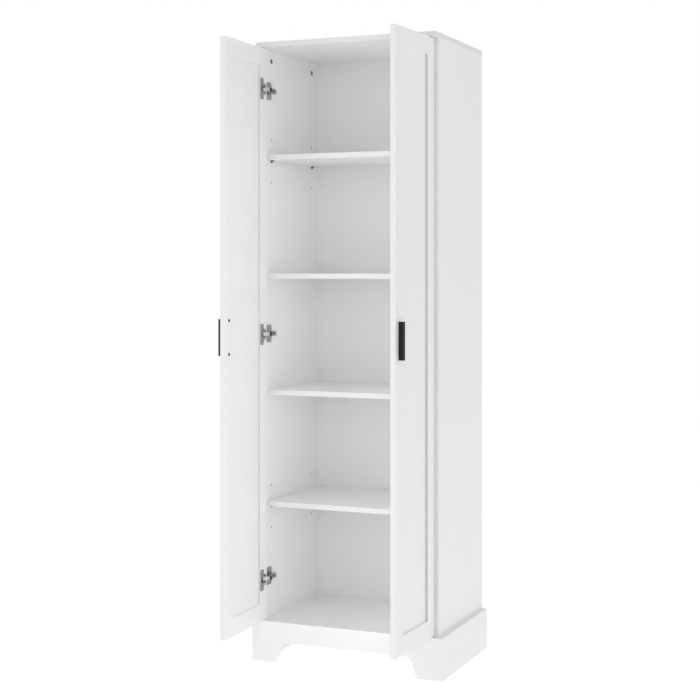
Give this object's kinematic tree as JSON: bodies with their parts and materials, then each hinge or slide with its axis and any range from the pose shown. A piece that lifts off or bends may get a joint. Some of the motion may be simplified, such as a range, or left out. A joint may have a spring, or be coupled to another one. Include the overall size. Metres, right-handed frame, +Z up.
{
  "type": "pantry cabinet",
  "caption": "Tall white free-standing pantry cabinet with framed double doors on concealed hinges, fixed and adjustable shelves and a bracket-foot plinth.",
  "frame": {"origin": "on the floor, on the centre line of the flat back plane", "axes": "+X to the right seen from the front, +Y towards the wall behind, +Z up; the doors are on the -Y side"},
  "size_m": [0.6, 0.6813, 1.84],
  "materials": {
    "carcass_laminate": "white satin melamine on board",
    "painted_front": "white satin lacquer on board",
    "back_panel_board": "white lacquered hardboard",
    "white_plastic": "moulded white",
    "handle_black": "matte black powder coat",
    "hinge_nickel": "nickel-plated pressed steel",
    "plated_steel": "bright zinc plate",
    "dark_zinc": "plain die-cast zinc",
    "beech": "plain turned beech"
  },
  "bodies": {
    "cabinet": {"left_side_panel": "carcass_laminate", "right_side_panel": "carcass_laminate", "top_panel": "carcass_laminate", "bottom_panel": "carcass_laminate", "fixed_shelf_upper": "carcass_laminate", "fixed_shelf_lower": "carcass_laminate", "adjustable_shelf_upper": "carcass_laminate", "adjustable_shelf_lower": "carcass_laminate", "back_panel_upper": "back_panel_board", "back_panel_lower": "back_panel_board", "back_panel_joiner": "white_plastic", "plinth_front_board": "painted_front", "left_plinth_board": "painted_front", "right_plinth_board": "painted_front", "plinth_back_rail": "carcass_laminate", "shelf_supports": "hinge_nickel", "cam_locks": "dark_zinc", "cam_bolts": "plated_steel", "dowels": "beech", "back_panel_nails": "plated_steel", "plinth_screws": "plated_steel", "left_hinge_plates": "hinge_nickel", "left_hinge_plate_screws": "plated_steel", "left_hinge_arms": "hinge_nickel", "left_hinge_arm_pins": "hinge_nickel", "left_hinge_arm_screws": "plated_steel", "right_hinge_plates": "hinge_nickel", "right_hinge_plate_screws": "plated_steel", "right_hinge_arms": "hinge_nickel", "right_hinge_arm_pins": "hinge_nickel", "right_hinge_arm_screws": "plated_steel"},
    "left_link": {"left_hinge_links": "hinge_nickel"},
    "left_door": {"left_hinge_stile": "painted_front", "left_lock_stile": "painted_front", "left_top_rail": "painted_front", "left_bottom_rail": "painted_front", "left_door_panel": "painted_front", "left_handle": "handle_black", "left_handle_screws": "plated_steel", "left_hinge_cups": "hinge_nickel", "left_hinge_cup_screws": "plated_steel", "left_hinge_cup_pins": "hinge_nickel"},
    "right_link": {"right_hinge_links": "hinge_nickel"},
    "right_door": {"right_hinge_stile": "painted_front", "right_lock_stile": "painted_front", "right_top_rail": "painted_front", "right_bottom_rail": "painted_front", "right_door_panel": "painted_front", "right_handle": "handle_black", "right_handle_screws": "plated_steel", "right_hinge_cups": "hinge_nickel", "right_hinge_cup_screws": "plated_steel", "right_hinge_cup_pins": "hinge_nickel"}
  },
  "joints": [
    {"name": "left_link_turn", "type": "hinge", "parent": "cabinet", "child": "left_link", "pos_m": [-0.2485, -0.40102, 0.973], "axis": [0, 0, -1], "range_deg": [-3.21, 41.33]},
    {"name": "left_door_swing", "type": "hinge", "parent": "left_link", "child": "left_door", "pos_m": [-0.26353, -0.41421, 0.973], "axis": [0, 0, -1], "range_deg": [-129.51, 9.98]},
    {"name": "right_link_turn", "type": "hinge", "parent": "cabinet", "child": "right_link", "pos_m": [0.2485, -0.40102, 0.973], "axis": [0, 0, 1], "range_deg": [-3.21, 41.33]},
    {"name": "right_door_swing", "type": "hinge", "parent": "right_link", "child": "right_door", "pos_m": [0.26353, -0.41421, 0.973], "axis": [0, 0, 1], "range_deg": [-129.51, 9.98]}
  ],
  "couplings": [
    {"joint": "left_link_turn", "follows": "left_door_swing", "ratio": -0.31897},
    {"joint": "right_link_turn", "follows": "right_door_swing", "ratio": -0.31897}
  ]
}
